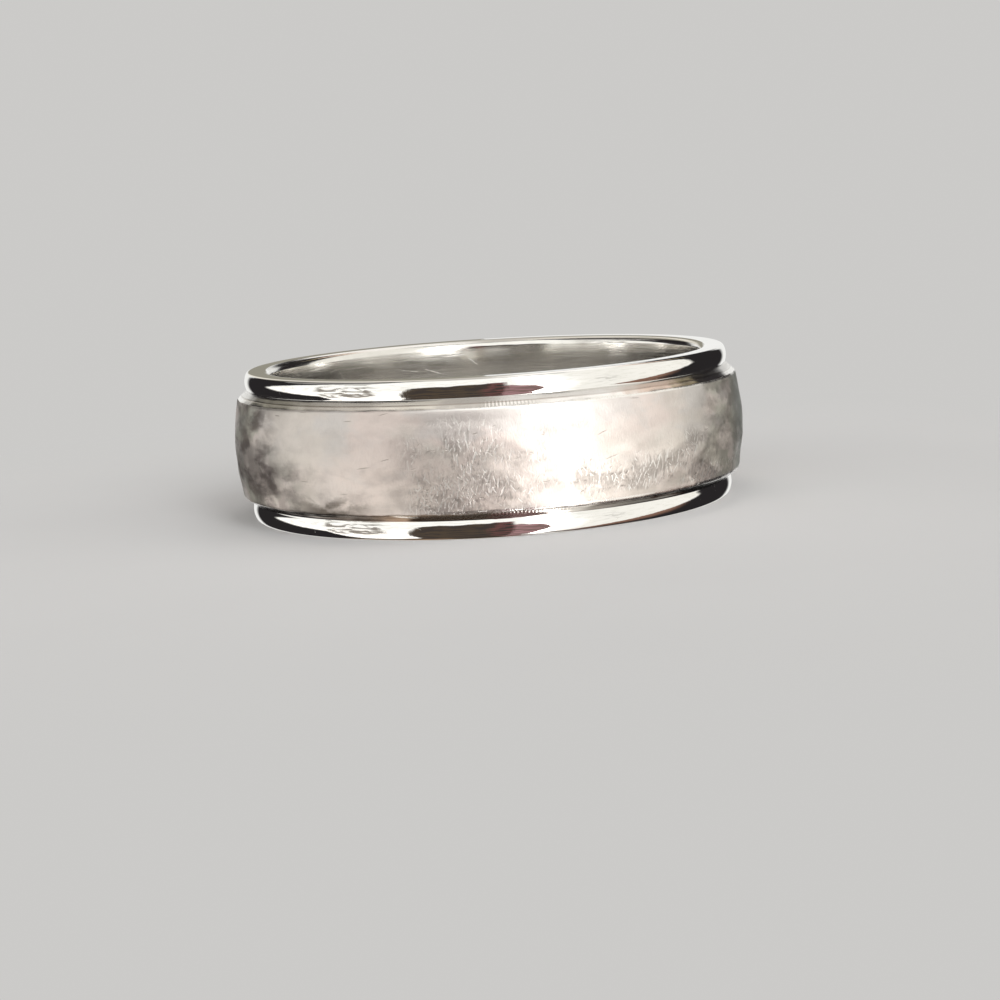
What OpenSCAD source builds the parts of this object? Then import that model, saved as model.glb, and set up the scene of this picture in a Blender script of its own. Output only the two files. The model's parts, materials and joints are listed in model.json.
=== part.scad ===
// Band ring, lying on its side, so that the finger hole runs straight up along Z.
// It rests on the flat land of its lower rim, at z = 0. Lengths are in millimetres.
// The upper half of the band's section is drawn once and mirrored about mid-width.

/* [Finger hole] */
// Inside diameter of the finger hole
bore_d = 19; // [16:0.1:22]
// Radius that rounds each end of the finger hole
comfort_r = 0.35; // [0.3:0.05:0.5]

/* [Band] */
// Width of the band, from the land of one rim to the land of the other
band_w = 6.5; // [6.4:0.1:8]
// Wall thickness at the middle of the raised centre
wall_t = 1.75; // [1.7:0.05:2]

/* [Raised centre] */
// Width of the raised centre, from one crest to the other
crest_w = 4.15; // [3.6:0.05:4.2]
// Height that the centre's crown rises above its two crests
crown_h = 0.25; // [0.2:0.05:0.3]
// Slope of each shoulder, in degrees from a plane across the band
shoulder_slope = 40; // [38:1:44]

/* [Rims] */
// Wall thickness at the fullest part of a rim's dome
rim_t = 1.13; // [1.1:0.01:1.2]
// Distance from the land down to the fullest part of the dome
rim_full_drop = 0.45; // [0.4:0.05:0.5]
// Radius of a rim's dome, seen in section
rim_dome_r = 0.8; // [0.75:0.05:1]
// Radius that rounds the dome over into the land
rim_corner_r = 0.2; // [0.15:0.05:0.25]

/* [Hidden] */
$fn = 240;

// Radii, from the finger hole outwards
bore_r = bore_d / 2;
rim_r = bore_r + rim_t;
crown_r = bore_r + wall_t;
crest_r = crown_r - crown_h;

// Heights above mid-width
land_z = band_w / 2;
crest_z = crest_w / 2;
dome_z = land_z - rim_full_drop;

// The dome's arc, from its middle radius out to the rim's fullest part
dome_c = rim_r - rim_dome_r;
dome_root_z = dome_z - rim_dome_r / 2;

// The corner arc touches the land from below and the dome from inside
corner_z = land_z - rim_corner_r;
corner_gap = rim_dome_r - rim_corner_r;
corner_c = dome_c + sqrt(corner_gap * corner_gap - (corner_z - dome_z) * (corner_z - dome_z));
corner_touch_z = dome_z + (corner_z - dome_z) * rim_dome_r / corner_gap;

// The arc that rounds the end of the finger hole
comfort_c = bore_r + comfort_r;
comfort_z = land_z - comfort_r;

// The crown's arc runs through both crests
crown_arc_r = (crest_z * crest_z + crown_h * crown_h) / (2 * crown_h);

// Each shoulder slopes from its crest down into the rim, where it ends inside the wall
root_r = rim_r - 0.2;
root_z = crest_z + (crest_r - root_r) * tan(shoulder_slope);
reach_r = crown_r + 1;
reach_z = crest_z - (reach_r - crest_r) * tan(shoulder_slope);

// Wall beside the finger hole, from mid-width up to the hole's rounded end
module wall_half_section() {
    translate([bore_r, 0])
        square([comfort_r, comfort_z]);
}

// Domed rim: comfort arc, flat land, corner arc and dome
module rim_section() {
    translate([comfort_c, comfort_z])
        circle(r = comfort_r);
    translate([comfort_c, dome_root_z])
        square([corner_c - comfort_c, land_z - dome_root_z]);
    translate([corner_c, corner_z])
        circle(r = rim_corner_r);
    intersection() {
        translate([dome_c, dome_z])
            circle(r = rim_dome_r);
        translate([comfort_c, dome_root_z])
            square([rim_t, corner_touch_z - dome_root_z]);
    }
}

// Raised centre between its two sloping shoulders, under the crown's arc
module centre_section() {
    intersection() {
        translate([crown_r - crown_arc_r, 0])
            circle(r = crown_arc_r);
        polygon([
            [bore_r, -root_z],
            [root_r, -root_z],
            [reach_r, -reach_z],
            [reach_r, reach_z],
            [root_r, root_z],
            [bore_r, root_z]
        ]);
    }
}

module half_section() {
    wall_half_section();
    rim_section();
}

module band() {
    color([0.86, 0.85, 0.84])
        translate([0, 0, land_z])
            rotate_extrude()
                union() {
                    half_section();
                    mirror([0, 1])
                        half_section();
                    centre_section();
                }
}

band();
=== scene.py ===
"""Looks for a band ring lying on its side: domed mirror rims beside a matte planished centre.

Lengths are in metres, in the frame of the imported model, and Z runs up through the finger hole.
The finishes measure the ring in millimetres, with heights from mid-width.
"""

import json
import math
from types import SimpleNamespace

import bpy
from mathutils import Matrix, Vector


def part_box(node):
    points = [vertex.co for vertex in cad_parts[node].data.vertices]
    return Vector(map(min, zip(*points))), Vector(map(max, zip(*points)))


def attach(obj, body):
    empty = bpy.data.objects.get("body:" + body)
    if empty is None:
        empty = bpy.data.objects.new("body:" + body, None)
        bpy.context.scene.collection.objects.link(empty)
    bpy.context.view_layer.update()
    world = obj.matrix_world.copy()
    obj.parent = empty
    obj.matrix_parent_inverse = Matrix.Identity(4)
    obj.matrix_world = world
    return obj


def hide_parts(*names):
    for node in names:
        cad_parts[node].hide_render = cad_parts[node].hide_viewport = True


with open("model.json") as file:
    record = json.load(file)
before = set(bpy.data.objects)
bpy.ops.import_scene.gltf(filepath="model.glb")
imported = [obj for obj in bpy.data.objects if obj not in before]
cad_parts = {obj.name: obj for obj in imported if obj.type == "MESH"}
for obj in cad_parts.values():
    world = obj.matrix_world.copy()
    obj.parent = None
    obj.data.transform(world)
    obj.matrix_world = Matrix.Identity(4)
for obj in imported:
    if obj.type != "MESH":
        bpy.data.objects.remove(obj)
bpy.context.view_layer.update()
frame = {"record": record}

MM = 0.001

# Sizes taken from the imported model
LOW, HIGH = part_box("band")
BAND_W = HIGH.z - LOW.z
MID_Z = (LOW.z + HIGH.z) / 2
FINGER_HOLE = next(m for m in frame["record"]["mounts"] if m["name"] == "finger_hole")
BORE_R = FINGER_HOLE["dims"]["r_mm"] * MM
COMFORT_R = (BAND_W - FINGER_HOLE["dims"]["length_mm"] * MM) / 2

# The rest of the section, as in the solid
RIM_T = 1.13 * MM
WALL_T = 1.75 * MM
CROWN_H = 0.25 * MM
CREST_W = 4.15 * MM
RIM_FULL_DROP = 0.45 * MM
DOME_R = 0.8 * MM
CORNER_R = 0.2 * MM
SHOULDER_SLOPE = math.radians(40)

# Radii from the finger hole's axis, and heights above mid-width
RIM_R = BORE_R + RIM_T
CROWN_R = BORE_R + WALL_T
CREST_R = CROWN_R - CROWN_H
DOME_C = RIM_R - DOME_R
LAND_Z = BAND_W / 2
CREST_Z = CREST_W / 2
DOME_Z = LAND_Z - RIM_FULL_DROP

# How far back the notch beside each rim and each crest are rounded, and in how many steps
NOTCH_ROUND, NOTCH_STEPS = 0.012 * MM, 2
CREST_ROUND, CREST_STEPS = 0.05 * MM, 3

# Steps that each stretch of the section is drawn in, and steps that the section is spun in
STEPS = {"hole": 3, "comfort": 8, "land": 2, "corner": 6, "dome": 10, "shoulder": 4, "crown": 20}
SPIN_STEPS = 720

# Points closer than this are one point, and a corner's point is looked for within the second distance
MERGE_GAP = 0.001 * MM
PICK_GAP = 0.002 * MM

# Finishes, in the order of the material slots. The hole's polish reaches this share up its rounded ends
RIM, SHOULDER, CENTRE, BORE = range(4)
BORE_SHARE = 0.6

# Relief of the centre, deepest first: how wide its forms are, how strong it is, and the texture value that
# keeps its height
RELIEF = [
    ("waves", "CLOUDS", 3.2 * MM, 0.05 * MM, 0.6, {"noise_depth": 1}),
    ("hammer_dents", "VORONOI", 1.5 * MM, 0.028 * MM, 0.7, {"distance_metric": "DISTANCE_SQUARED"}),
    ("facets", "VORONOI", 0.7 * MM, 0.01 * MM, 0.6, {"distance_metric": "DISTANCE_SQUARED"}),
]

# Height of a hammer mark over its length round the ring
MARK_TALL = 0.5

# Up and down wander of the crests. Above a half, the value that keeps the height lets a crest sit lower
WANDER_WIDE, WANDER_STRONG = 0.9 * MM, 0.07 * MM
CREST_MIDDLES = {"upper_crest": 0.75, "lower_crest": 1.2}

# Height over which the relief fades out beside a crest
CREST_FADE = 0.4 * MM

# Tool marks round each shoulder, and where they are strongest, as an angle round the ring
TOOL_MARK_COUNT = 460.0
STRONG_MARKS = math.radians(-82)


# Modelling

def deselect_all():
    """Leaves object mode with nothing selected, so that an operator acts on new work only."""
    if bpy.context.object and bpy.context.object.mode != "OBJECT":
        bpy.ops.object.mode_set(mode="OBJECT")
    bpy.ops.object.select_all(action="DESELECT")


def arc(centre, radius, start, end, steps):
    """Points along an arc of the section, in degrees from outwards, as (radius, height) pairs."""
    turns = [math.radians(start + (end - start) * i / steps) for i in range(steps + 1)]
    return [(centre[0] + radius * math.cos(t), centre[1] + radius * math.sin(t)) for t in turns]


def line(start, end, steps):
    """Points along a straight stretch of the section."""
    return [
        (start[0] + (end[0] - start[0]) * i / steps, start[1] + (end[1] - start[1]) * i / steps)
        for i in range(steps + 1)
    ]


def notch_place():
    """Where a shoulder's slope runs into the rim's dome, with the dome's angle there in degrees.

    It lies 10 to 40 degrees below the dome's fullest part, and each step halves the stretch searched.
    """
    low, high = -40.0, -10.0
    for _ in range(40):
        turn = (low + high) / 2
        radius = DOME_C + DOME_R * math.cos(math.radians(turn))
        height = DOME_Z + DOME_R * math.sin(math.radians(turn))
        if (height - CREST_Z) > (CREST_R - radius) * math.tan(SHOULDER_SLOPE):
            high = turn
        else:
            low = turn
    return (radius, height), turn


NOTCH, DOME_END = notch_place()
NOTCH_Z = NOTCH[1]


def half_outline():
    """The section's upper half, from the middle of the finger hole round to the crown's top."""
    gap = DOME_R - CORNER_R
    corner_z = LAND_Z - CORNER_R
    touch = math.degrees(math.asin((corner_z - DOME_Z) / gap))
    corner_c = DOME_C + gap * math.cos(math.radians(touch))
    crown_arc_r = (CREST_Z ** 2 + CROWN_H ** 2) / (2 * CROWN_H)
    crest_turn = math.degrees(math.asin(CREST_Z / crown_arc_r))
    comfort_c = BORE_R + COMFORT_R
    comfort_z = LAND_Z - COMFORT_R
    stretches = [
        line((BORE_R, 0), (BORE_R, comfort_z), STEPS["hole"]),
        arc((comfort_c, comfort_z), COMFORT_R, 180, 90, STEPS["comfort"]),
        line((comfort_c, LAND_Z), (corner_c, LAND_Z), STEPS["land"]),
        arc((corner_c, corner_z), CORNER_R, 90, touch, STEPS["corner"]),
        arc((DOME_C, DOME_Z), DOME_R, touch, DOME_END, STEPS["dome"]),
        line(NOTCH, (CREST_R, CREST_Z), STEPS["shoulder"]),
        arc((CROWN_R - crown_arc_r, 0), crown_arc_r, crest_turn, 0, STEPS["crown"]),
    ]
    points = [stretches[0][0]]
    for stretch in stretches:
        points += stretch[1:]
    return points


def draw_section():
    """Draws the band's section as a loop of edges on the X side, with its turned corners broken."""
    points = half_outline()
    points += [(r, -z) for r, z in reversed(points[1:-1])]
    outline = [Vector((r, 0, MID_Z + z)) for r, z in points]

    deselect_all()
    bpy.ops.mesh.primitive_plane_add(size=MM, location=outline[0])
    band = bpy.context.object
    band.name = band.data.name = "planished_band"
    bpy.ops.object.transform_apply(location=True, rotation=True, scale=True)
    bpy.ops.object.mode_set(mode="EDIT")
    bpy.ops.mesh.select_all(action="SELECT")
    bpy.ops.mesh.merge(type="CENTER")
    for here, there in zip(outline, outline[1:] + outline[:1]):
        bpy.ops.mesh.extrude_region_move(TRANSFORM_OT_translate={"value": there - here})
    bpy.ops.mesh.select_all(action="SELECT")
    bpy.ops.mesh.remove_doubles(threshold=MERGE_GAP)
    for (radius, height), back, steps in (
        (NOTCH, NOTCH_ROUND, NOTCH_STEPS),
        ((CREST_R, CREST_Z), CREST_ROUND, CREST_STEPS),
    ):
        pair = [Vector((radius, 0, MID_Z + side * height)) for side in (1, -1)]
        bpy.ops.mesh.select_all(action="DESELECT")
        bpy.ops.object.mode_set(mode="OBJECT")
        for vertex in band.data.vertices:
            vertex.select = any((vertex.co - corner).length < PICK_GAP for corner in pair)
        bpy.ops.object.mode_set(mode="EDIT")
        bpy.ops.mesh.bevel(offset=back, segments=steps, affect="VERTICES")
    bpy.ops.object.mode_set(mode="OBJECT")
    return band


def turn_band():
    """Spins the section round the finger hole into one closed wall, normals outwards."""
    band = draw_section()
    bpy.ops.object.mode_set(mode="EDIT")
    bpy.ops.mesh.select_all(action="SELECT")
    bpy.ops.mesh.spin(steps=SPIN_STEPS, angle=math.tau, center=(0, 0, 0), axis=(0, 0, 1))
    bpy.ops.mesh.select_all(action="SELECT")
    bpy.ops.mesh.remove_doubles(threshold=MERGE_GAP)
    bpy.ops.mesh.normals_make_consistent(inside=False)
    bpy.ops.object.mode_set(mode="OBJECT")
    return band


def place_of(point):
    """Radius and height above mid-width of a point."""
    return math.hypot(point.x, point.y), point.z - MID_Z


def finish_of(point):
    """Which finish a face has, by its place on the section."""
    radius, height = place_of(point)
    if radius < BORE_R + COMFORT_R * BORE_SHARE:
        return BORE
    if abs(height) > NOTCH_Z:
        return RIM
    if abs(height) > CREST_Z + CREST_ROUND * math.sin(SHOULDER_SLOPE):
        return SHOULDER
    return CENTRE


def give_finishes(band, materials):
    """Adds the material slots, then selects each region's faces by their place and assigns its slot."""
    for material in materials:
        bpy.ops.object.material_slot_add()
        band.material_slots[-1].material = material
    regions = [finish_of(face.center) for face in band.data.polygons]
    for slot in range(len(materials)):
        bpy.ops.object.mode_set(mode="EDIT")
        bpy.ops.mesh.select_mode(type="FACE")
        bpy.ops.mesh.select_all(action="DESELECT")
        bpy.ops.object.mode_set(mode="OBJECT")
        for face, region in zip(band.data.polygons, regions):
            face.select = region == slot
        bpy.ops.object.mode_set(mode="EDIT")
        band.active_material_index = slot
        bpy.ops.object.material_slot_assign()
        bpy.ops.object.mode_set(mode="OBJECT")


def press(band, name, kind, wide, strong, middle, group, direction="NORMAL", run=None, settings=None):
    """Presses one layer of relief into a vertex group, from a texture in real lengths, and applies it.

    The texture follows the size of the object run, where one is given.
    """
    texture = bpy.data.textures.new(name, kind)
    texture.noise_scale = wide
    for key, value in (settings or {}).items():
        setattr(texture, key, value)
    bpy.ops.object.modifier_add(type="DISPLACE")
    relief = band.modifiers[-1]
    relief.name = name
    relief.texture = texture
    relief.texture_coords = "OBJECT" if run else "LOCAL"
    relief.texture_coords_object = run
    relief.vertex_group = group
    relief.direction = direction
    relief.mid_level = middle
    relief.strength = strong
    bpy.ops.object.modifier_apply(modifier=name)


def weigh_relief(band):
    """Vertex groups for the relief: the centre without its crests, and the surroundings of each crest."""
    centre = band.vertex_groups.new(name="centre")
    upper, lower = [band.vertex_groups.new(name=name) for name in CREST_MIDDLES]
    for vertex in band.data.vertices:
        radius, height = place_of(vertex.co)
        if radius < BORE_R + COMFORT_R or abs(height) > NOTCH_Z - NOTCH_ROUND:
            continue
        inside = CREST_Z - abs(height)
        if inside > 0:
            centre.add([vertex.index], min(1, max(0, inside - CREST_ROUND) / CREST_FADE), "REPLACE")
            near = 1 - inside / CREST_FADE
        else:
            near = 1 + inside / (NOTCH_Z - CREST_Z)
        if near > 0:
            (upper if height > 0 else lower).add([vertex.index], near, "REPLACE")


def planish(band):
    """Hammer dents and facets over slow waves on the raised centre, with crests that wander a little."""
    weigh_relief(band)
    bpy.ops.object.empty_add(location=(0, 0, MID_Z))
    run = bpy.context.object
    run.scale = (1, 1, MARK_TALL)
    deselect_all()
    band.select_set(True)
    bpy.context.view_layer.objects.active = band
    bpy.context.view_layer.update()
    for name, kind, wide, strong, middle, settings in RELIEF:
        press(band, name, kind, wide, strong, middle, "centre", run=run, settings=settings)
    bpy.data.objects.remove(run)
    for name, middle in CREST_MIDDLES.items():
        press(band, name, "CLOUDS", WANDER_WIDE, WANDER_STRONG, middle, name, direction="Z",
              settings={"noise_depth": 1})


def smooth_faces():
    """Smooth shading that leaves flats flat beside the narrow broken edges."""
    bpy.ops.object.shade_smooth()
    bpy.ops.object.modifier_add(type="WEIGHTED_NORMAL")
    weighted = bpy.context.object.modifiers[-1]
    weighted.mode = "FACE_AREA_WITH_ANGLE"
    bpy.ops.object.modifier_apply(modifier=weighted.name)


# Shader helpers

def put(tree, kind, sockets=None, **settings):
    """Adds a node with its settings. Each named or numbered socket gets a value or a link."""
    node = tree.nodes.new(kind)
    for key, value in settings.items():
        setattr(node, key, value)
    for key, value in (sockets or {}).items():
        if isinstance(value, bpy.types.NodeSocket):
            tree.links.new(value, node.inputs[key])
        else:
            node.inputs[key].default_value = value
    return node


def calc(tree, operation, *values):
    """A Math node's result."""
    return put(tree, "ShaderNodeMath", dict(enumerate(values)), operation=operation).outputs[0]


def times(tree, first, second):
    """The product of two values."""
    return calc(tree, "MULTIPLY", first, second)


def larger(tree, first, second):
    """The larger of two values."""
    return calc(tree, "MAXIMUM", first, second)


def add_scaled(tree, value, factor, ground):
    """A value times a factor, added to a ground."""
    return calc(tree, "MULTIPLY_ADD", value, factor, ground)


def vector_calc(tree, operation, *values, out="Vector"):
    """A Vector Math node's result. A Scale operation takes its factor second."""
    if operation == "SCALE":
        sockets = {0: values[0], "Scale": values[1]}
    else:
        sockets = dict(enumerate(values))
    return put(tree, "ShaderNodeVectorMath", sockets, operation=operation).outputs[out]


def split(tree, vector):
    """The X, Y and Z outputs of a vector."""
    return put(tree, "ShaderNodeSeparateXYZ", {0: vector}).outputs


def join(tree, x, y, z=0.0):
    """A vector of three values."""
    return put(tree, "ShaderNodeCombineXYZ", {"X": x, "Y": y, "Z": z}).outputs[0]


def noise(tree, where, scale, detail, roughness=0.5, out="Fac", **more):
    """A Noise Texture's value or colour. Further sockets are given by name."""
    sockets = {"Vector": where, "Scale": scale, "Detail": detail, "Roughness": roughness, **more}
    dimensions = "4D" if "W" in more else "3D"
    return put(tree, "ShaderNodeTexNoise", sockets, noise_dimensions=dimensions).outputs[out]


def ramp(tree, value, low, high, to_low=0.0, to_high=1.0, smooth=True):
    """Value carried from one range to another, clamped, with a soft start and end."""
    sockets = {"Value": value, "From Min": low, "From Max": high, "To Min": to_low, "To Max": to_high}
    kind = "SMOOTHSTEP" if smooth else "LINEAR"
    return put(tree, "ShaderNodeMapRange", sockets, interpolation_type=kind).outputs["Result"]


def between(tree, value, low, high, soft):
    """One from the low end to the high one and zero outside, with soft ends. Either end may be a link."""
    ends = [
        (calc(tree, "SUBTRACT", end, soft), calc(tree, "ADD", end, soft))
        if isinstance(end, bpy.types.NodeSocket) else (end - soft, end + soft)
        for end in (low, high)
    ]
    rise = ramp(tree, value, ends[0][0], ends[0][1])
    fall = ramp(tree, value, ends[1][1], ends[1][0])
    return times(tree, rise, fall)


def past(tree, value, start, rate, offset):
    """An edge that stays at offset up to a start, then moves at a rate."""
    return add_scaled(tree, larger(tree, 0.0, calc(tree, "SUBTRACT", value, start)), rate, offset)


def blend(tree, share, below, above):
    """Colour above laid over colour below by share."""
    return put(tree, "ShaderNodeMix", {"Factor": share, 6: below, 7: above}, data_type="RGBA").outputs[2]


def lay_colours(tree, colour, layers):
    """Colours laid over a first one, one after another, each by its own share."""
    for share, above in layers:
        colour = blend(tree, share, colour, above)
    return colour


def new_group(name, inputs, outputs):
    """A shader node group with its named sockets. Each socket is a (name, kind, value) row."""
    tree = bpy.data.node_groups.new(name, "ShaderNodeTree")
    for title, kind, value in inputs:
        socket = tree.interface.new_socket(title, in_out="INPUT", socket_type=kind)
        if value is not None:
            socket.default_value = value
    for title, kind in outputs:
        tree.interface.new_socket(title, in_out="OUTPUT", socket_type=kind)
    return tree, tree.nodes.new("NodeGroupInput").outputs, tree.nodes.new("NodeGroupOutput").inputs


def use(tree, group, **sockets):
    """Places a node group and returns its outputs. Spaces in a socket's name are written as _."""
    node = tree.nodes.new("ShaderNodeGroup")
    node.node_tree = group
    for key, value in sockets.items():
        socket = node.inputs[key.replace("_", " ")]
        if isinstance(value, bpy.types.NodeSocket):
            tree.links.new(value, socket)
        else:
            socket.default_value = value
    return node.outputs


# Effects that several finishes share

def make_ring_space():
    """Turns a place on the ring into millimetres, radius, height above mid-width, angle and way outwards."""
    tree, given, out = new_group(
        "ring_space",
        [("Place", "NodeSocketVector", None)],
        [("Millimetres", "NodeSocketVector"), ("Radius", "NodeSocketFloat"), ("Height", "NodeSocketFloat"),
         ("Angle", "NodeSocketFloat"), ("Outwards", "NodeSocketVector")],
    )
    centred = vector_calc(tree, "SUBTRACT", given["Place"], (0, 0, MID_Z))
    mm = vector_calc(tree, "SCALE", centred, 1 / MM)
    part = split(tree, mm)
    flat = join(tree, part["X"], part["Y"])
    tree.links.new(mm, out["Millimetres"])
    tree.links.new(vector_calc(tree, "LENGTH", flat, out="Value"), out["Radius"])
    tree.links.new(part["Z"], out["Height"])
    tree.links.new(calc(tree, "ARCTAN2", part["Y"], part["X"]), out["Angle"])
    tree.links.new(vector_calc(tree, "NORMALIZE", flat), out["Outwards"])
    return tree


def make_hairlines(ring_space):
    """Fine polishing lines that run round the ring and fade in and out on the way."""
    tree, given, out = new_group(
        "hairlines",
        [("Place", "NodeSocketVector", None), ("Lines per mm", "NodeSocketFloat", 12.0),
         ("Spread", "NodeSocketFloat", 3.0)],
        [("Lines", "NodeSocketFloat")],
    )
    ring = use(tree, ring_space, Place=given["Place"])
    way = split(tree, vector_calc(tree, "SCALE", ring["Outwards"], given["Spread"]))
    across = times(tree, ring["Height"], given["Lines per mm"])
    outwards = times(tree, ring["Radius"], given["Lines per mm"])
    where = join(tree, way["X"], way["Y"], across)
    tree.links.new(noise(tree, where, 1.0, 3.0, 0.65, W=outwards), out["Lines"])
    return tree


def make_clouds(ring_space):
    """Soft uneven patches, such as handling and uneven rubbing leave."""
    tree, given, out = new_group(
        "clouds",
        [("Place", "NodeSocketVector", None), ("Across mm", "NodeSocketFloat", 3.0),
         ("Tall", "NodeSocketFloat", 1.0), ("From", "NodeSocketFloat", 0.4), ("To", "NodeSocketFloat", 0.65),
         ("Shift", "NodeSocketFloat", 0.0)],
        [("Mask", "NodeSocketFloat")],
    )
    ring = use(tree, ring_space, Place=given["Place"])
    size = calc(tree, "DIVIDE", 1.0, given["Across mm"])
    squash = join(tree, 1.0, 1.0, calc(tree, "DIVIDE", 1.0, given["Tall"]))
    where = vector_calc(tree, "MULTIPLY", ring["Millimetres"], squash)
    cloud = noise(tree, where, size, 4.0, 0.52, W=given["Shift"], Distortion=0.3)
    tree.links.new(ramp(tree, cloud, given["From"], given["To"]), out["Mask"])
    return tree


def make_strokes(ring_space):
    """Separate short strokes scattered over the metal.

    Each leans its own way from the finger hole's axis, by up to Lean radians to either side of Turn.
    Share is the part of the cells that hold a stroke.
    """
    tree, given, out = new_group(
        "strokes",
        [("Place", "NodeSocketVector", None), ("Cell mm", "NodeSocketFloat", 0.8),
         ("Length mm", "NodeSocketFloat", 0.6), ("Width mm", "NodeSocketFloat", 0.04),
         ("Lean", "NodeSocketFloat", 0.5), ("Turn", "NodeSocketFloat", 0.0), ("Share", "NodeSocketFloat", 0.7)],
        [("Mask", "NodeSocketFloat")],
    )
    ring = use(tree, ring_space, Place=given["Place"])
    cell = put(tree, "ShaderNodeTexVoronoi",
               {"Vector": ring["Millimetres"], "Scale": calc(tree, "DIVIDE", 1.0, given["Cell mm"])})
    luck = put(tree, "ShaderNodeSeparateColor", {0: cell.outputs["Color"]}).outputs
    from_seed = vector_calc(tree, "SUBTRACT", ring["Millimetres"], cell.outputs["Position"])
    round_way = vector_calc(tree, "CROSS_PRODUCT", (0, 0, 1), ring["Outwards"])
    sideways = vector_calc(tree, "DOT_PRODUCT", from_seed, round_way, out="Value")
    upwards = vector_calc(tree, "DOT_PRODUCT", from_seed, (0, 0, 1), out="Value")

    either_way = ramp(tree, luck["Red"], 0, 1, -1, 1, smooth=False)
    lean = add_scaled(tree, either_way, given["Lean"], given["Turn"])
    sine, cosine = calc(tree, "SINE", lean), calc(tree, "COSINE", lean)
    along = calc(tree, "ADD", times(tree, upwards, cosine), times(tree, sideways, sine))
    across = calc(tree, "SUBTRACT", times(tree, sideways, cosine), times(tree, upwards, sine))

    half_length = times(tree, given["Length mm"], ramp(tree, luck["Blue"], 0, 1, 0.25, 0.5, smooth=False))
    reach = calc(tree, "DIVIDE", along, half_length)
    taper = calc(tree, "SUBTRACT", 1.0, times(tree, reach, reach))
    half_width = larger(tree, 0.0001, times(tree, taper, times(tree, given["Width mm"], 0.5)))
    stroke = ramp(tree, calc(tree, "DIVIDE", calc(tree, "ABSOLUTE", across), half_width), 1.0, 0.3)
    chosen = calc(tree, "LESS_THAN", luck["Green"], given["Share"])
    inside = calc(tree, "GREATER_THAN", taper, 0.0)
    tree.links.new(times(tree, stroke, times(tree, chosen, inside)), out["Mask"])
    return tree


def make_tool_marks(ring_space):
    """Even marks that a turning tool leaves down a shoulder, stronger in three stretches round the ring."""
    tree, given, out = new_group(
        "tool_marks",
        [("Place", "NodeSocketVector", None), ("Marks", "NodeSocketFloat", TOOL_MARK_COUNT)],
        [("Height", "NodeSocketFloat")],
    )
    ring = use(tree, ring_space, Place=given["Place"])
    wave = calc(tree, "SINE", times(tree, ring["Angle"], given["Marks"]))
    from_strong = calc(tree, "SUBTRACT", ring["Angle"], STRONG_MARKS)
    stretch = calc(tree, "COSINE", times(tree, from_strong, 3.0))
    tree.links.new(times(tree, wave, ramp(tree, stretch, 0.84, 0.97, 0.08, 1.0)), out["Height"])
    return tree


RING_SPACE = make_ring_space()
HAIRLINES = make_hairlines(RING_SPACE)
CLOUDS = make_clouds(RING_SPACE)
STROKES = make_strokes(RING_SPACE)
TOOL_MARKS = make_tool_marks(RING_SPACE)


# Finishes

# Usual range of the hairlines' texture
LINES = (0.3, 0.75)

# Heights on the section in millimetres. The crests are at 2.075 and the notches at 2.45
MARKS_FADE = (2.32, 2.22)
GROOVE, GROOVE_SOFT = (2.22, 2.26), 0.02
# Heights over which painted shade darkens the shoulder's slope towards the notch
SLOPE_SHADES = (2.19, 2.25)
CREST_BRIGHT = (1.98, 2.04)
GRAIN_FADES = (2.04, 1.92)

RIM_CLEAN, RIM_SMUDGED = (0.93, 0.92, 0.9, 1), (0.885, 0.87, 0.845, 1)
BORE_CLEAN, BORE_HAZY = (0.88, 0.865, 0.835, 1), (0.8, 0.78, 0.745, 1)
# Bright colour of a painted highlight on the crests, and partly of the strokes
BURNISH_AND_GLINT = (1.0, 0.98, 0.95, 1)

SHOULDER_COLOURS = {
    "by_crest": (0.97, 0.95, 0.92, 1),
    # painted shade by the notch
    "by_notch": (0.68, 0.665, 0.64, 1),
    "grime": (0.62, 0.57, 0.52, 1),
    # painted shade in the fine groove
    "groove": (0.45, 0.38, 0.33, 1),
}

# Painted shade in the lower notch, from its lighter inner end to its darker outer one
RIGHT_NOTCH_SHADE = ((0.3, 0.27, 0.25, 1), (0.045, 0.036, 0.027, 1))
LEFT_NOTCH_SHADE = ((0.26, 0.17, 0.11, 1), (0.075, 0.05, 0.033, 1))

# Colours of the raised centre. Some stand in for light: a lighter lower half, painted shade and reflections at
# the front ends, and a painted highlight on the crests and strokes
CENTRE_COLOURS = {
    "plain": (0.74, 0.695, 0.655, 1),
    "rosy": (0.785, 0.7, 0.665, 1),
    "cool": (0.69, 0.665, 0.655, 1),
    "lit_below": (1.0, 0.91, 0.85, 1),
    "rubbed": (0.42, 0.38, 0.365, 1),
    "gap": (0.36, 0.33, 0.31, 1),
    "crackle": (0.3, 0.27, 0.26, 1),
    "green_reflection": (0.5, 0.52, 0.44, 1),
    "left_blotch": (0.24, 0.205, 0.19, 1),
    "right_blotch": (0.42, 0.395, 0.35, 1),
    "left_end_shade": (0.17, 0.145, 0.14, 1),
    "right_end_light": (0.26, 0.31, 0.32, 1),
    "dark_lower_crest": (0.12, 0.098, 0.075, 1),
    "pit": (0.4, 0.35, 0.32, 1),
}


def metal(name):
    """A new metal material, its tree, its shader and the place on the ring."""
    material = bpy.data.materials.new(name)
    material.use_nodes = True
    tree = material.node_tree
    tree.nodes.clear()
    shader = put(tree, "ShaderNodeBsdfPrincipled", {"Metallic": 1.0})
    put(tree, "ShaderNodeOutputMaterial", {"Surface": shader.outputs[0]})
    place = put(tree, "ShaderNodeTexCoord").outputs["Object"]
    return material, tree, shader.inputs, place


def bump(tree, height, deep, under=None):
    """The normal of a relief over another normal. Its height runs from 0 to 1, and deep is in metres."""
    sockets = {"Height": height, "Distance": deep, "Strength": 1.0}
    if under is not None:
        sockets["Normal"] = under
    return put(tree, "ShaderNodeBump", sockets).outputs[0]


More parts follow.
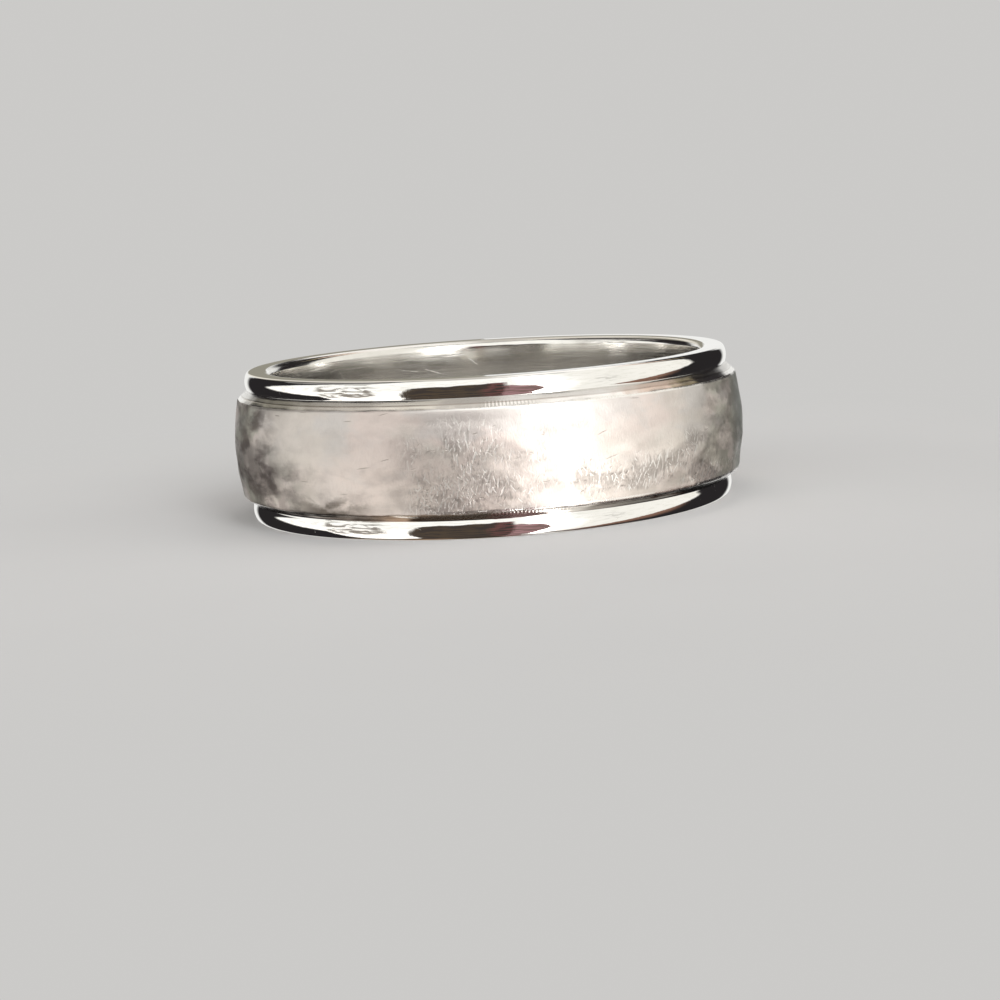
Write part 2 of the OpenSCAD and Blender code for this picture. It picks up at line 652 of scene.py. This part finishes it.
def mirror_polish():
    """Rims: bright mirror with faint polishing lines, a breath of unevenness and a few hair scratches."""
    material, tree, shader, place = metal("mirror_polished_rim")
    lines = use(tree, HAIRLINES, Place=place, Lines_per_mm=22.0, Spread=5.0)["Lines"]
    smudge = use(tree, CLOUDS, Place=place, Across_mm=2.2, From=0.45, To=0.75)["Mask"]
    slow = use(tree, CLOUDS, Place=place, Across_mm=1.3, From=0.2, To=0.8, Shift=4.0)["Mask"]
    scratch = use(tree, STROKES, Place=place, Cell_mm=1.6, Length_mm=1.5, Width_mm=0.012, Lean=1.2,
                  Turn=1.4, Share=0.25)["Mask"]
    tree.links.new(blend(tree, smudge, RIM_CLEAN, RIM_SMUDGED), shader["Base Color"])

    rough = calc(tree, "ADD", ramp(tree, lines, *LINES, 0.025, 0.06), times(tree, smudge, 0.03))
    tree.links.new(add_scaled(tree, scratch, 0.08, rough), shader["Roughness"])

    normal = bump(tree, slow, 0.004 * MM)
    normal = bump(tree, lines, 0.00018 * MM, normal)
    tree.links.new(bump(tree, scratch, -0.0006 * MM, normal), shader["Normal"])
    return material


def lower_notch_shade(tree, x, height):
    """Painted shade in the lower notch, from about 3 mm either side of the middle outwards: share and colour."""
    top = larger(tree, ramp(tree, x, -3.2, -5.0, -2.22, -2.02), ramp(tree, x, 3.6, 5.0, -2.22, -2.02))
    deep = ramp(tree, calc(tree, "SUBTRACT", height, top), -0.02, -0.09)
    aside = larger(tree, ramp(tree, x, -2.5, -3.4, 0.4, 1.0), ramp(tree, x, 3.3, 4.1, 0.4, 1.0))
    right = blend(tree, ramp(tree, x, 4.0, 6.2), *RIGHT_NOTCH_SHADE)
    left = blend(tree, ramp(tree, x, -3.6, -5.4), *LEFT_NOTCH_SHADE)
    return times(tree, deep, aside), blend(tree, ramp(tree, x, 0.6, -0.6), right, left)


def turned_shoulder():
    """Shoulders: softly turned metal with even tool marks down the slope and faint lines round the ring."""
    material, tree, shader, place = metal("turned_shoulder")
    colours = SHOULDER_COLOURS
    ring = use(tree, RING_SPACE, Place=place)
    off_middle = calc(tree, "ABSOLUTE", ring["Height"])
    x = split(tree, ring["Millimetres"])["X"]
    lines = use(tree, HAIRLINES, Place=place, Lines_per_mm=14.0, Spread=4.0)["Lines"]
    grime = use(tree, CLOUDS, Place=place, Across_mm=1.6, Tall=0.3, From=0.4, To=0.7, Shift=2.0)["Mask"]

    # Tool marks fade out before the notch, and a fine broken groove runs half-way down the slope, painted darker
    # as shade
    marks = use(tree, TOOL_MARKS, Place=place, Marks=TOOL_MARK_COUNT)["Height"]
    marks = times(tree, marks, ramp(tree, off_middle, *MARKS_FADE))
    groove = between(tree, off_middle, *GROOVE, GROOVE_SOFT)
    groove = times(tree, groove, ramp(tree, lines, 0.35, 0.6, 0.3, 1.0))

    # Painted shade darkens the lower notch
    notch_shade_share, notch_shade_colour = lower_notch_shade(tree, x, ring["Height"])
    # Painted shade: the slope darkens from the crest down towards the notch
    slope = blend(tree, ramp(tree, off_middle, *SLOPE_SHADES), colours["by_crest"], colours["by_notch"])
    colour = lay_colours(tree, slope, [
        (times(tree, grime, 0.4), colours["grime"]),
        (times(tree, groove, 0.6), colours["groove"]),
        (notch_shade_share, notch_shade_colour),
    ])
    tree.links.new(colour, shader["Base Color"])
    tree.links.new(add_scaled(tree, grime, 0.06, ramp(tree, lines, *LINES, 0.1, 0.2)), shader["Roughness"])

    normal = bump(tree, lines, 0.0016 * MM)
    normal = bump(tree, marks, 0.0022 * MM, normal)
    tree.links.new(bump(tree, groove, -0.003 * MM, normal), shader["Normal"])
    return material


def centre_places(tree, place):
    """Places on the raised centre, in millimetres from the ring's middle, and masks that go by place alone."""
    ring = use(tree, RING_SPACE, Place=place)
    mm = ring["Millimetres"]
    part = split(tree, mm)
    height = ring["Height"]
    lower = ramp(tree, height, 0.9, -0.9)
    aside = calc(tree, "ABSOLUTE", part["X"])

    # Both ends, lower down nearer to the middle, and only on the front side towards negative Y: painted shade
    # darkens them, and the facets are stronger there
    front_side = ramp(tree, part["Y"], 3.0, -0.5)
    lower_ends = times(tree, lower, ramp(tree, aside, 6.5, 9.0, 0.0, 0.75))
    ends = times(tree, larger(tree, ramp(tree, aside, 8.3, 10.0), lower_ends), front_side)
    busy = larger(tree, times(tree, lower, 0.3), ends)
    return SimpleNamespace(
        place=place, mm=mm, x=part["X"], height=height, off_middle=calc(tree, "ABSOLUTE", height),
        lower=lower, front_side=front_side, ends=ends, busy=busy,
    )


def centre_marks(tree, at, cool):
    """Marks on the raised centre: rubbed clumps low on it, strokes and dark gaps in them, pits, grain."""
    grain = noise(tree, vector_calc(tree, "MULTIPLY", at.mm, (15.0, 15.0, 6.0)), 1.0, 4.0, 0.65)
    clump = use(tree, CLOUDS, Place=at.place, Across_mm=2.2, Tall=0.7, From=0.44, To=0.56, Shift=3.0)["Mask"]
    top = add_scaled(tree, cool, 0.8, ramp(tree, at.x, 2.0, 5.5, 1.45, 0.1, smooth=False))
    rubbed = ramp(tree, calc(tree, "SUBTRACT", at.height, top), 0.0, -1.3, 0.1, 1.0)
    rubbed = times(tree, rubbed, ramp(tree, at.x, -3.9, -2.5, 0.08, 1.0))
    rubbed = times(tree, rubbed, clump)

    # Streaks bend to and fro by a slow noise
    wander = noise(tree, at.mm, 0.9, 1.0, out="Color")
    streak_place = vector_calc(tree, "ADD", vector_calc(tree, "MULTIPLY", at.mm, (11.0, 11.0, 3.0)),
                               vector_calc(tree, "SCALE", wander, 9.0))
    streaks = noise(tree, streak_place, 1.0, 3.0, 0.6)

    long_strokes = use(tree, STROKES, Place=at.place, Cell_mm=0.5, Length_mm=0.95, Width_mm=0.1, Lean=0.5,
                       Turn=0.12, Share=0.6)["Mask"]
    short_strokes = use(tree, STROKES, Place=at.place, Cell_mm=0.26, Length_mm=0.5, Width_mm=0.075, Lean=0.9,
                        Turn=-0.1, Share=0.5)["Mask"]
    strokes = times(tree, larger(tree, long_strokes, short_strokes), ramp(tree, grain, 0.34, 0.5))
    strokes = larger(tree, strokes, ramp(tree, streaks, 0.57, 0.69, 0.0, 0.7))

    specks = use(tree, STROKES, Place=at.place, Cell_mm=0.42, Length_mm=0.3, Width_mm=0.075, Lean=0.7,
                 Turn=1.2, Share=0.35)["Mask"]
    dashes = use(tree, STROKES, Place=at.place, Cell_mm=1.5, Length_mm=0.7, Width_mm=0.04, Lean=0.25,
                 Turn=1.45, Share=0.4)["Mask"]
    return SimpleNamespace(
        grain=grain, rubbed=rubbed, strokes=times(tree, strokes, rubbed),
        gaps=times(tree, ramp(tree, streaks, 0.48, 0.36), rubbed),
        pits=larger(tree, dashes, times(tree, specks, rubbed)),
    )


def centre_colour(tree, at, marks, cool, crest):
    """Colour of the raised centre: cloudy satin, with painted light on its lower half, painted shade and
    reflections darkening and blotching the front ends, and its marks on top.
    """
    colours = CENTRE_COLOURS
    rosy = use(tree, CLOUDS, Place=at.place, Across_mm=4.0, Tall=0.6, From=0.42, To=0.6, Shift=7.0)["Mask"]
    patch = use(tree, CLOUDS, Place=at.place, Across_mm=1.3, Tall=0.55, From=0.4, To=0.66, Shift=1.0)["Mask"]
    tint = use(tree, CLOUDS, Place=at.place, Across_mm=1.7, Tall=0.7, From=0.46, To=0.58, Shift=11.0)["Mask"]
    wear = use(tree, CLOUDS, Place=at.place, Across_mm=0.9, Tall=0.5, From=0.35, To=0.65, Shift=8.0)["Mask"]
    crackle = ramp(tree, noise(tree, at.mm, 3.2, 3.0, 0.6, Distortion=0.8), 0.54, 0.72)
    blotch = blend(tree, ramp(tree, at.x, -1.0, 1.0), colours["left_blotch"], colours["right_blotch"])

    # Painted shade, a dark reflection, at the far left end, and painted cold light at the far right one
    left_end_shade = times(tree, between(tree, at.height, -1.25, 0.25, 0.55), ramp(tree, at.x, -7.6, -9.7))
    left_end_shade = times(tree, left_end_shade, ramp(tree, patch, 0.0, 1.0, 0.5, 0.88))
    left_end_shade = times(tree, left_end_shade, at.front_side)
    cold = times(tree, ramp(tree, at.x, 10.1, 10.9, 0.0, 0.5), at.front_side)

    # The lower crest is darker from 5 to 8 mm left of the middle
    crest_darkening = ramp(tree, add_scaled(tree, wear, -0.45, at.height), -1.7, -2.25)
    crest_darkening = times(tree, crest_darkening, between(tree, at.x, -8.0, -5.2, 1.0))

    return lay_colours(tree, blend(tree, rosy, colours["plain"], colours["rosy"]), [
        (times(tree, cool, 0.7), colours["cool"]),
        (times(tree, at.lower, 0.58), colours["lit_below"]),
        (times(tree, marks.rubbed, ramp(tree, patch, 0.1, 0.8, 0.1, 0.5)), colours["rubbed"]),
        (times(tree, marks.gaps, 0.6), colours["gap"]),
        # Painted shade and reflections at the front ends: crackle, faint elsewhere, a green reflection, and dark
        # blotches, which are fewer elsewhere
        (times(tree, crackle, add_scaled(tree, at.ends, 0.24, 0.05)), colours["crackle"]),
        (times(tree, tint, times(tree, at.ends, 0.6)), colours["green_reflection"]),
        (times(tree, patch, ramp(tree, at.busy, 0.0, 1.0, 0.12, 0.85)), blotch),
        (left_end_shade, colours["left_end_shade"]),
        (cold, colours["right_end_light"]),
        (times(tree, crest_darkening, 0.8), colours["dark_lower_crest"]),
        (times(tree, marks.pits, 0.55), colours["pit"]),
        # strokes painted bright, partly burnished metal and partly a painted highlight
        (times(tree, marks.strokes, 0.95), BURNISH_AND_GLINT),
        # painted highlight along the crests
        (crest, BURNISH_AND_GLINT),
    ])


def centre_relief(tree, at, marks):
    """Normal of the raised centre: soft facets, stronger at both ends, under grain, strokes and pits."""
    ripple = noise(tree, at.mm, 2.0, 4.0, 0.65, out="Color")
    facet_place = vector_calc(tree, "ADD", vector_calc(tree, "MULTIPLY", at.mm, (1.1, 1.1, 2.0)),
                              vector_calc(tree, "SCALE", ripple, 1.4))
    facet = put(tree, "ShaderNodeTexVoronoi", {"Vector": facet_place, "Scale": 1.0, "Smoothness": 0.6},
                feature="SMOOTH_F1").outputs["Color"]
    tilt = vector_calc(tree, "SCALE", vector_calc(tree, "SUBTRACT", facet, (0.5, 0.5, 0.5)),
                       ramp(tree, at.busy, 0.0, 1.0, 0.05, 0.26))
    facing = put(tree, "ShaderNodeNewGeometry").outputs["Normal"]
    normal = vector_calc(tree, "NORMALIZE", vector_calc(tree, "ADD", facing, tilt))

    # The grain fades out beside the crests, which stay even
    grain = times(tree, marks.grain, ramp(tree, at.off_middle, *GRAIN_FADES))
    normal = bump(tree, grain, 0.007 * MM, normal)
    normal = bump(tree, marks.strokes, -0.004 * MM, normal)
    return bump(tree, marks.pits, -0.008 * MM, normal)


def satin_centre():
    """Raised centre: satin rubbed along the finger hole's axis, cloudy, with clumps of strokes painted bright,
    partly burnished metal and partly a painted highlight.
    """
    material, tree, shader, place = metal("satin_planished_centre")
    at = centre_places(tree, place)
    cool = use(tree, CLOUDS, Place=place, Across_mm=2.6, Tall=0.6, From=0.45, To=0.6, Shift=5.0)["Mask"]
    marks = centre_marks(tree, at, cool)

    # A painted highlight brightens the crests from 4 mm left of the middle on to the right
    crest = times(tree, ramp(tree, at.off_middle, *CREST_BRIGHT), ramp(tree, at.x, -4.0, 0.0, 0.0, 0.8))
    tree.links.new(centre_colour(tree, at, marks, cool, crest), shader["Base Color"])

    rough = add_scaled(tree, marks.strokes, -0.12, ramp(tree, marks.grain, 0.25, 0.75, 0.42, 0.54))
    tree.links.new(add_scaled(tree, crest, -0.25, rough), shader["Roughness"])
    tree.links.new(centre_relief(tree, at, marks), shader["Normal"])
    return material


def worn_bore():
    """Finger hole: polished, then softened by wear, with lines round the hole and small scratches."""
    material, tree, shader, place = metal("polished_finger_hole")
    lines = use(tree, HAIRLINES, Place=place, Lines_per_mm=14.0, Spread=6.0)["Lines"]
    haze = use(tree, CLOUDS, Place=place, Across_mm=2.6, From=0.35, To=0.7, Shift=9.0)["Mask"]
    scratch = use(tree, STROKES, Place=place, Cell_mm=1.1, Length_mm=1.2, Width_mm=0.016, Lean=1.3, Turn=0.8,
                  Share=0.6)["Mask"]
    tree.links.new(blend(tree, haze, BORE_CLEAN, BORE_HAZY), shader["Base Color"])
    rough = add_scaled(tree, haze, 0.07, ramp(tree, lines, *LINES, 0.07, 0.15))
    tree.links.new(add_scaled(tree, scratch, 0.07, rough), shader["Roughness"])
    tree.links.new(bump(tree, scratch, -0.0008 * MM, bump(tree, lines, 0.0015 * MM)), shader["Normal"])
    return material


# Floor

FLOOR_Z = -0.01 * MM
TABLE_R = 9.45 * MM
FLOOR_R = 1500 * MM
FLOOR_SIDES = 128

# The floor fades into the backdrop's colour between these distances from the ring's axis
LIT_R = 24 * MM
FADED_R = 42 * MM

PALE = (0.6, 0.593, 0.58, 1)
PAINT, MOTTLE = (0.704, 0.71, 0.732, 1), (0.694, 0.7, 0.722, 1)


def floor_paint():
    """Pale matte paint with the faintest mottling. Away from the ring it fades into the backdrop's own colour.

    The floor is evenly lit there, so this changes nothing to see, hides the horizon and saves render time.
    """
    material = bpy.data.materials.new("pale_floor")
    material.use_nodes = True
    tree = material.node_tree
    tree.nodes.clear()
    place = put(tree, "ShaderNodeTexCoord").outputs["Object"]
    colour = blend(tree, ramp(tree, noise(tree, place, 60.0, 3.0), 0.3, 0.7), PAINT, MOTTLE)
    paint = put(tree, "ShaderNodeBsdfPrincipled",
                {"Base Color": colour, "Roughness": 0.9, "Specular IOR Level": 0.0}).outputs[0]
    far = ramp(tree, vector_calc(tree, "LENGTH", place, out="Value"), LIT_R, FADED_R)
    backdrop = put(tree, "ShaderNodeEmission", {"Color": PALE, "Strength": 1.0}).outputs[0]
    shown = put(tree, "ShaderNodeMixShader", {0: far, 1: paint, 2: backdrop}).outputs[0]
    put(tree, "ShaderNodeOutputMaterial", {"Surface": shown})
    material.cycles.emission_sampling = "NONE"
    return material


def lay_floor():
    """A table top in the finger hole, which the bore mirrors, and a wide floor for the camera alone."""
    paint = floor_paint()
    deselect_all()
    bpy.ops.mesh.primitive_circle_add(vertices=FLOOR_SIDES, radius=TABLE_R, fill_type="NGON",
                                      location=(0, 0, FLOOR_Z))
    table = bpy.context.object
    table.name = "table_top"

    deselect_all()
    bpy.ops.mesh.primitive_circle_add(vertices=FLOOR_SIDES, radius=TABLE_R, location=(0, 0, FLOOR_Z))
    floor = bpy.context.object
    floor.name = "studio_floor"
    bpy.ops.object.mode_set(mode="EDIT")
    bpy.ops.mesh.select_mode(type="EDGE")
    bpy.ops.mesh.select_all(action="SELECT")
    bpy.ops.mesh.extrude_edges_move()
    bpy.ops.transform.resize(value=(FLOOR_R / TABLE_R, FLOOR_R / TABLE_R, 1), center_override=(0, 0, 0))
    bpy.ops.object.mode_set(mode="OBJECT")
    floor.visible_diffuse = floor.visible_glossy = floor.visible_shadow = False

    for stage in (table, floor):
        stage.data.materials.append(paint)


# Studio. Directions are in degrees: azimuth from the camera's side, positive to the right, and elevation

WINDOW_LEFT, WINDOW_RIGHT = 126.0, 114.0
WINDOW_SILL, WINDOW_TOP = -60.0, 68.0
WINDOW_SOFT = 2.5

# The front region ends at these azimuths: nothing that only one side has reaches past them
FRONT_LEFT, FRONT_RIGHT = -51.0, 40.0

# Soft patches: from and to azimuth, from and to elevation, and how soft the edges are
KEY = ((16, 34), (-60, 50), 3)
SMEAR = ((52, 63), (-20, 12), 2)
BLURS = ((-86, -54), (-28, 19), 3)

# Elevations between which the ground sets in, how soft the ceiling's edge is, and how far edges wobble in all
GROUND_FROM = (-60, -66)
CEILING_SOFT = 5
WOBBLE = 14.0

DARK = (0.022, 0.02, 0.021, 1)
WINDOW_HIGH, WINDOW_LOW = (1.15, 1.14, 1.1, 1), (1.6, 1.55, 1.48, 1)
WINDOW_WARM, WINDOW_RIPPLE = (1.0, 0.98, 0.92, 1), (0.8, 0.79, 0.7, 1)
KEY_HIGH, KEY_LOW = (5.2, 5.15, 5.0, 1), (9.0, 8.8, 8.5, 1)
ROSY_LIGHT, ROSY_DARK = (0.42, 0.24, 0.25, 1), (0.22, 0.14, 0.13, 1)
GAP_BROWN, GAP_RED, GAP_GREY = (0.085, 0.064, 0.046, 1), (0.16, 0.07, 0.066, 1), (0.055, 0.045, 0.04, 1)
REAR_LEFT, REAR_RIGHT = (0.56, 0.42, 0.3, 1), (0.4, 0.36, 0.33, 1)
REAR_WINDOW = (0.9, 0.9, 0.88, 1)
LINTEL, BLUR_COLOUR = (0.6, 0.585, 0.56, 1), (0.17, 0.14, 0.11, 1)
FRINGE, SMEAR_COLOUR = (0.26, 0.145, 0.105, 1), (0.4, 0.38, 0.35, 1)


def make_sky(tree):
    """The direction looked in, as its parts and its angles, with two slow noises over it."""
    way = put(tree, "ShaderNodeTexCoord").outputs["Generated"]
    part = split(tree, way)
    azimuth = calc(tree, "DEGREES", calc(tree, "ARCTAN2", part["X"], times(tree, part["Y"], -1.0)))
    elevation = calc(tree, "DEGREES", calc(tree, "ARCSINE", part["Z"]))
    wobble = noise(tree, way, 7.0, 2.0)
    return SimpleNamespace(
        tree=tree, way=way, x=part["X"], y=part["Y"], z=part["Z"], azimuth=azimuth, elevation=elevation,
        leftwards=times(tree, azimuth, -1.0), round_back=calc(tree, "ABSOLUTE", azimuth),
        wobble=wobble, ripples=noise(tree, way, 11.0, 2.0),
        uneven=add_scaled(tree, wobble, WOBBLE, calc(tree, "SUBTRACT", elevation, WOBBLE / 2)),
    )


def patch_of(sky, sides, ends, soft, height=None):
    """A patch between two azimuths and two elevations, with soft edges.

    Another height may stand in for the elevation.
    """
    height = sky.elevation if height is None else height
    across = between(sky.tree, sky.azimuth, *sides, soft)
    return times(sky.tree, across, between(sky.tree, height, *ends, soft))


def window_colour(sky):
    """The window: brighter low down, warmer on the right, and faintly rippled."""
    tree = sky.tree
    return lay_colours(tree, blend(tree, ramp(tree, sky.elevation, 15, -35), WINDOW_HIGH, WINDOW_LOW), [
        (ramp(tree, sky.azimuth, 36, 50), WINDOW_WARM),
        (ramp(tree, sky.ripples, 0.5, 0.62, 0.0, 0.4), WINDOW_RIPPLE),
    ])


def rosy_gap(sky):
    """A rosy gap in the window, right of the middle, that narrows upwards: share and colour."""
    tree = sky.tree
    top = past(tree, sky.azimuth, 9.0, -0.6, past(tree, sky.azimuth, 22.0, -2.2, 4.0))
    foot = past(tree, sky.azimuth, 21.0, 5.5, -72.0)
    share = times(tree, between(tree, sky.uneven, foot, top, 1.5), between(tree, sky.azimuth, 0.0, 29.0, 1.5))
    return share, blend(tree, ramp(tree, sky.wobble, 0.35, 0.65), ROSY_LIGHT, ROSY_DARK)


def dark_gap(sky):
    """A dark gap in the window, left of the middle, that widens at its foot: share and colour."""
    tree = sky.tree
    top = past(tree, sky.azimuth, -40.0, 0.2, 11.0)
    side = add_scaled(tree, sky.elevation, 0.2, -37.5)
    side = calc(tree, "ADD", side, ramp(tree, sky.elevation, -54, -60, 0.0, -19.0))
    share = times(tree, between(tree, sky.uneven, -72.0, top, 1.5), between(tree, sky.azimuth, side, 9.0, 1.5))
    body = blend(tree, ramp(tree, sky.azimuth, -6.0, 2.0), GAP_BROWN, GAP_RED)
    return share, blend(tree, ramp(tree, sky.wobble, 0.4, 0.6), body, GAP_GREY)


def front_colour(sky, window, gaps):
    """Front: the window with its brightest part on the right, and both gaps."""
    tree = sky.tree
    key = blend(tree, ramp(tree, sky.elevation, 5, -20), KEY_HIGH, KEY_LOW)
    return lay_colours(tree, DARK, [
        (between(tree, sky.elevation, WINDOW_SILL, WINDOW_TOP, WINDOW_SOFT), window),
        (patch_of(sky, *KEY), key),
        *gaps,
    ])


def rear_colours(sky):
    """Dim light low behind, and a low window there: colour, then share and colour of the window."""
    tree = sky.tree
    low = times(tree, ramp(tree, sky.z, -0.74, -0.87), ramp(tree, sky.y, 0.22, 0.34))
    glow = blend(tree, ramp(tree, sky.x, -0.1, 0.1), REAR_LEFT, REAR_RIGHT)
    window = times(tree, ramp(tree, sky.round_back, 150, 158), between(tree, sky.elevation, -50, 16, 4))
    return blend(tree, low, DARK, glow), (window, REAR_WINDOW)


def left_colour(sky, window, gap):
    """Left: the window narrows, under a dim lintel, with dark blurs in it."""
    tree = sky.tree
    rear, rear_window = rear_colours(sky)
    sill = calc(tree, "ADD", ramp(tree, sky.leftwards, 84, 89, WINDOW_SILL, -20.0),
                past(tree, sky.leftwards, 89.0, 0.55, 0.0))
    top = past(tree, sky.leftwards, 85.0, -0.75, ramp(tree, sky.leftwards, 60, 63, WINDOW_TOP, 32.0))
    open_part = times(tree, ramp(tree, sky.leftwards, WINDOW_LEFT + WINDOW_SOFT, WINDOW_LEFT - WINDOW_SOFT),
                      between(tree, sky.elevation, sill, top, WINDOW_SOFT))

    lintel_foot = past(tree, sky.leftwards, 80.0, 0.5, calc(tree, "ADD", top, 2.0))
    lintel_top = past(tree, sky.leftwards, 75.0, -0.4, 50.0)
    lintel = times(tree, between(tree, sky.elevation, lintel_foot, lintel_top, 1.5),
                   between(tree, sky.leftwards, 62, 122, 2))

    blurs = noise(tree, vector_calc(tree, "MULTIPLY", sky.way, (6.0, 6.0, 3.6)), 1.0, 1.5, Distortion=0.9)
    blurs = times(tree, patch_of(sky, *BLURS, sky.uneven), ramp(tree, blurs, 0.43, 0.56))
    return lay_colours(tree, rear, [
        (open_part, window),
        (lintel, LINTEL),
        rear_window,
        (times(tree, blurs, 0.88), BLUR_COLOUR),
        gap,
    ])


def right_colour(sky, window):
    """Right: the window's sill rises, with a warm fringe over it and a faint smear."""
    tree = sky.tree
    rear, rear_window = rear_colours(sky)
    sill = past(tree, sky.azimuth, 50.0, 1.0, WINDOW_SILL)
    open_part = times(tree, ramp(tree, sky.azimuth, WINDOW_RIGHT + WINDOW_SOFT, WINDOW_RIGHT - WINDOW_SOFT),
                      between(tree, sky.elevation, sill, WINDOW_TOP, WINDOW_SOFT))
    over_sill = calc(tree, "SUBTRACT", sky.elevation, sill)
    fringe = times(tree, ramp(tree, over_sill, -36, -2), ramp(tree, over_sill, 1.5, -1.5))
    fringe = times(tree, fringe, between(tree, sky.azimuth, 48, 100, 8))
    smear = times(tree, patch_of(sky, *SMEAR), ramp(tree, sky.ripples, 0.4, 0.62, 0.0, 0.4))
    return lay_colours(tree, rear, [
        (open_part, window),
        (fringe, FRINGE),
        (smear, SMEAR_COLOUR),
        rear_window,
    ])


def ground_colour(sky, gaps):
    """Ground: bands of dark and light from left to right, under the feet of both gaps."""
    tree = sky.tree
    return lay_colours(tree, (0.05, 0.04, 0.03, 1), [
        (between(tree, sky.x, -0.33, -0.19, 0.04), (0.28, 0.185, 0.115, 1)),
        (between(tree, sky.x, 0.03, 0.14, 0.02), (0.2, 0.125, 0.115, 1)),
        (between(tree, sky.x, 0.14, 0.23, 0.02), (1.0, 0.98, 0.94, 1)),
        (between(tree, sky.x, 0.23, 0.29, 0.02), (0.3, 0.28, 0.26, 1)),
        (ramp(tree, sky.x, 0.27, 0.31), (0.13, 0.09, 0.085, 1)),
        *gaps,
    ])


def ceiling_colour(sky):
    """Ceiling: brighter overhead and to the right, with a warm wall at the far right."""
    tree = sky.tree
    far_right = ramp(tree, sky.x, 0.3, 0.38)
    return lay_colours(tree, (0.3, 0.285, 0.235, 1), [
        (ramp(tree, sky.z, 0.5, 0.88), (0.62, 0.585, 0.54, 1)),
        (between(tree, sky.x, -0.4, -0.19, 0.03), (0.84, 0.8, 0.72, 1)),
        (ramp(tree, sky.x, -0.02, 0.12), (1.12, 1.09, 1.05, 1)),
        (times(tree, far_right, ramp(tree, sky.z, 0.86, 0.76)), (0.83, 0.655, 0.55, 1)),
        (times(tree, far_right, ramp(tree, sky.z, 0.68, 0.6)), (0.36, 0.31, 0.19, 1)),
    ])


def light_studio():
    """A wide soft window wraps the front, with a ceiling over it, a banded ground and dim light behind.

    The camera sees a plain pale backdrop instead. The light is put together region by region, because Blender
    works out only the region that a ray looks at.
    """
    world = bpy.data.worlds.new("soft_studio")
    bpy.context.scene.world = world
    world.use_nodes = True
    tree = world.node_tree
    tree.nodes.clear()
    sky = make_sky(tree)
    window = window_colour(sky)
    rosy, dark = rosy_gap(sky), dark_gap(sky)

    # The ceiling starts 70 degrees up in front and comes down towards the back, less so at the back's right
    ceiling_edge = calc(tree, "ADD", past(tree, sky.round_back, 90.0, -0.85, 70.0),
                        ramp(tree, sky.azimuth, 138, 141.5, 0.0, 24.0))
    over_edge = calc(tree, "SUBTRACT", sky.elevation, ceiling_edge)

    def glow(colour):
        return put(tree, "ShaderNodeBackground", {"Color": colour, "Strength": 1.0}).outputs[0]

    light = glow(front_colour(sky, window, [rosy, dark]))
    for share, colour in (
        (calc(tree, "GREATER_THAN", sky.azimuth, FRONT_RIGHT), right_colour(sky, window)),
        (calc(tree, "LESS_THAN", sky.azimuth, FRONT_LEFT), left_colour(sky, window, dark)),
        (ramp(tree, sky.elevation, *GROUND_FROM), ground_colour(sky, [rosy, dark])),
        (ramp(tree, over_edge, 0, CEILING_SOFT), ceiling_colour(sky)),
        (put(tree, "ShaderNodeLightPath").outputs["Is Camera Ray"], PALE),
    ):
        light = put(tree, "ShaderNodeMixShader", {0: share, 1: light, 2: glow(colour)}).outputs[0]
    put(tree, "ShaderNodeOutputWorld", {"Surface": light})
    bpy.context.scene.view_settings.view_transform = "Standard"


# Camera, fitted to the photograph: its distance from the ring's middle, its height over the ring's middle
# plane and its roll in degrees, then the focal length, the picture's width and the ring's place in it, in pixels
CAMERA_AWAY = 98 * MM
CAMERA_HEIGHT = 6.427
CAMERA_ROLL = -3.494
FOCAL_PIXELS = 2200
PICTURE_PIXELS = 1000
RING_X, RING_Y = 488.86, 428.34
SENSOR_MM = 36


def set_camera():
    """The photograph's viewpoint: close, a little above the ring and rolled, with the ring off the middle."""
    height, roll = math.radians(CAMERA_HEIGHT), math.radians(CAMERA_ROLL)
    middle = Vector((0, 0, MID_Z))
    eye = middle + CAMERA_AWAY * Vector((0, -math.cos(height), math.sin(height)))
    ahead = (middle - eye).normalized()
    level = Vector((1, 0, 0))
    upright = level.cross(ahead)
    right = math.cos(roll) * level + math.sin(roll) * upright
    up = math.cos(roll) * upright - math.sin(roll) * level
    off_right = (RING_X - PICTURE_PIXELS / 2) / FOCAL_PIXELS
    off_down = (RING_Y - PICTURE_PIXELS / 2) / FOCAL_PIXELS
    axis = (ahead - right * off_right + up * off_down).normalized()
    across = (right - axis * right.dot(axis)).normalized()

    deselect_all()
    bpy.ops.object.camera_add(location=eye)
    camera = bpy.context.object
    camera.name = "photo_camera"
    camera.data.sensor_width = SENSOR_MM
    camera.data.lens = FOCAL_PIXELS / PICTURE_PIXELS * SENSOR_MM
    camera.data.clip_start = 1 * MM
    camera.data.clip_end = 10
    turned = Matrix((across, across.cross(axis), -axis)).transposed().to_4x4()
    camera.matrix_world = Matrix.Translation(eye) @ turned
    bpy.context.scene.camera = camera


band = turn_band()
give_finishes(band, [mirror_polish(), turned_shoulder(), satin_centre(), worn_bore()])
planish(band)
smooth_faces()
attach(band, "root")
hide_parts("band")

lay_floor()
light_studio()
set_camera()
